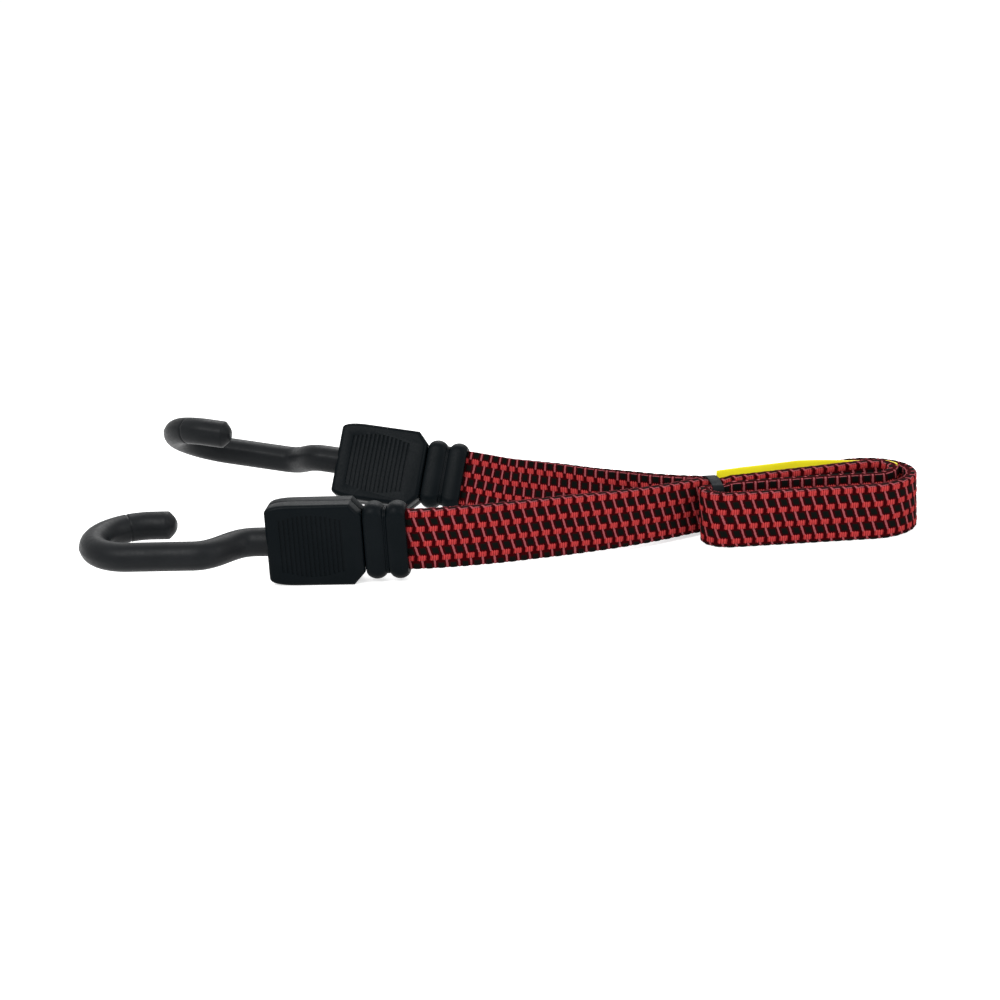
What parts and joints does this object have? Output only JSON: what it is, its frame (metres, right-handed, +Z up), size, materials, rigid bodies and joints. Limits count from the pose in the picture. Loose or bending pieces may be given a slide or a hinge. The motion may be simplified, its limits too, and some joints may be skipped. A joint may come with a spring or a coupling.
{
  "type": "flat bungee cord",
  "caption": "Flat woven elastic bungee strap, folded into a tied bundle around a card, with a plastic head and a coated steel hook at each end.",
  "frame": {"origin": "centre of the bounding box at the floor the cord rests on", "axes": "+X from the hooks to the folded bundle, +Y from the near side of the picture to the far side, +Z up; the strap stands on its edge"},
  "size_m": [0.2732, 0.1128, 0.0379],
  "materials": {
    "woven_sheath": "red and black blocks woven in a checked band with thin pink warp threads",
    "rubber_core": "natural rubber strands under the sheath",
    "tie_strip": "slate grey flexible strip",
    "yellow_card": "coated yellow card, plain",
    "clamp_steel": "pressed zinc-plated strip",
    "soft_collar": "ribbed soft black plastic",
    "head_plastic": "moulded black plastic, satin",
    "hook_steel": "bent steel wire",
    "hook_coat": "thick dark grey plastic coat, satin"
  },
  "bodies": {
    "bundle": {"hank_strap": "woven_sheath", "hank_core": "rubber_core", "bundle_tie": "tie_strip", "label_card": "yellow_card"},
    "front_arm": {"front_arm_strap": "woven_sheath", "front_arm_core": "rubber_core"},
    "front_lead": {"front_lead_strap": "woven_sheath", "front_lead_core": "rubber_core"},
    "front_end": {"front_tail_strap": "woven_sheath", "front_tail_core": "rubber_core", "front_strap_clamp": "clamp_steel", "front_collar": "soft_collar", "front_head_shell_jog_side": "head_plastic", "front_head_shell_tip_side": "head_plastic", "front_hook_wire": "hook_steel", "front_hook_coating": "hook_coat"},
    "back_arm": {"back_arm_strap": "woven_sheath", "back_arm_core": "rubber_core"},
    "back_lead": {"back_lead_strap": "woven_sheath", "back_lead_core": "rubber_core"},
    "back_end": {"back_tail_strap": "woven_sheath", "back_tail_core": "rubber_core", "back_strap_clamp": "clamp_steel", "back_collar": "soft_collar", "back_head_shell_jog_side": "head_plastic", "back_head_shell_tip_side": "head_plastic", "back_hook_wire": "hook_steel", "back_hook_coating": "hook_coat"}
  },
  "joints": [
    {"name": "front_swing", "type": "hinge", "parent": "bundle", "child": "front_arm", "pos_m": [0.05968, -0.02195, 0.01029], "axis": [0, 0, 1], "range_deg": [-4, 60], "stiffness_Nm_per_rad": 0.02},
    {"name": "front_stretch", "type": "slide", "parent": "front_arm", "child": "front_lead", "axis": [-0.9919, 0.1271, 0], "range_m": [0, 0.045], "stiffness_N_per_m": 1200, "deforming": ["front_arm_strap", "front_arm_core"]},
    {"name": "front_twist", "type": "hinge", "parent": "front_lead", "child": "front_end", "pos_m": [-0.03002, -0.04795, 0.01359], "axis": [-0.9919, 0.1271, 0], "range_deg": [-90, 90], "stiffness_Nm_per_rad": 0.05, "deforming": ["front_lead_strap", "front_lead_core"]},
    {"name": "back_swing", "type": "hinge", "parent": "bundle", "child": "back_arm", "pos_m": [0.05968, -0.01165, 0.00919], "axis": [0, 0, -1], "range_deg": [-4, 75], "stiffness_Nm_per_rad": 0.02},
    {"name": "back_stretch", "type": "slide", "parent": "back_arm", "child": "back_lead", "axis": [-0.9681, 0.2023, 0.1478], "range_m": [0, 0.045], "stiffness_N_per_m": 1200, "deforming": ["back_arm_strap", "back_arm_core"]},
    {"name": "back_twist", "type": "hinge", "parent": "back_lead", "child": "back_end", "pos_m": [-0.01232, 0.02305, 0.01149], "axis": [-0.9681, 0.2023, 0.1478], "range_deg": [-90, 90], "stiffness_Nm_per_rad": 0.05, "deforming": ["back_lead_strap", "back_lead_core"]}
  ]
}
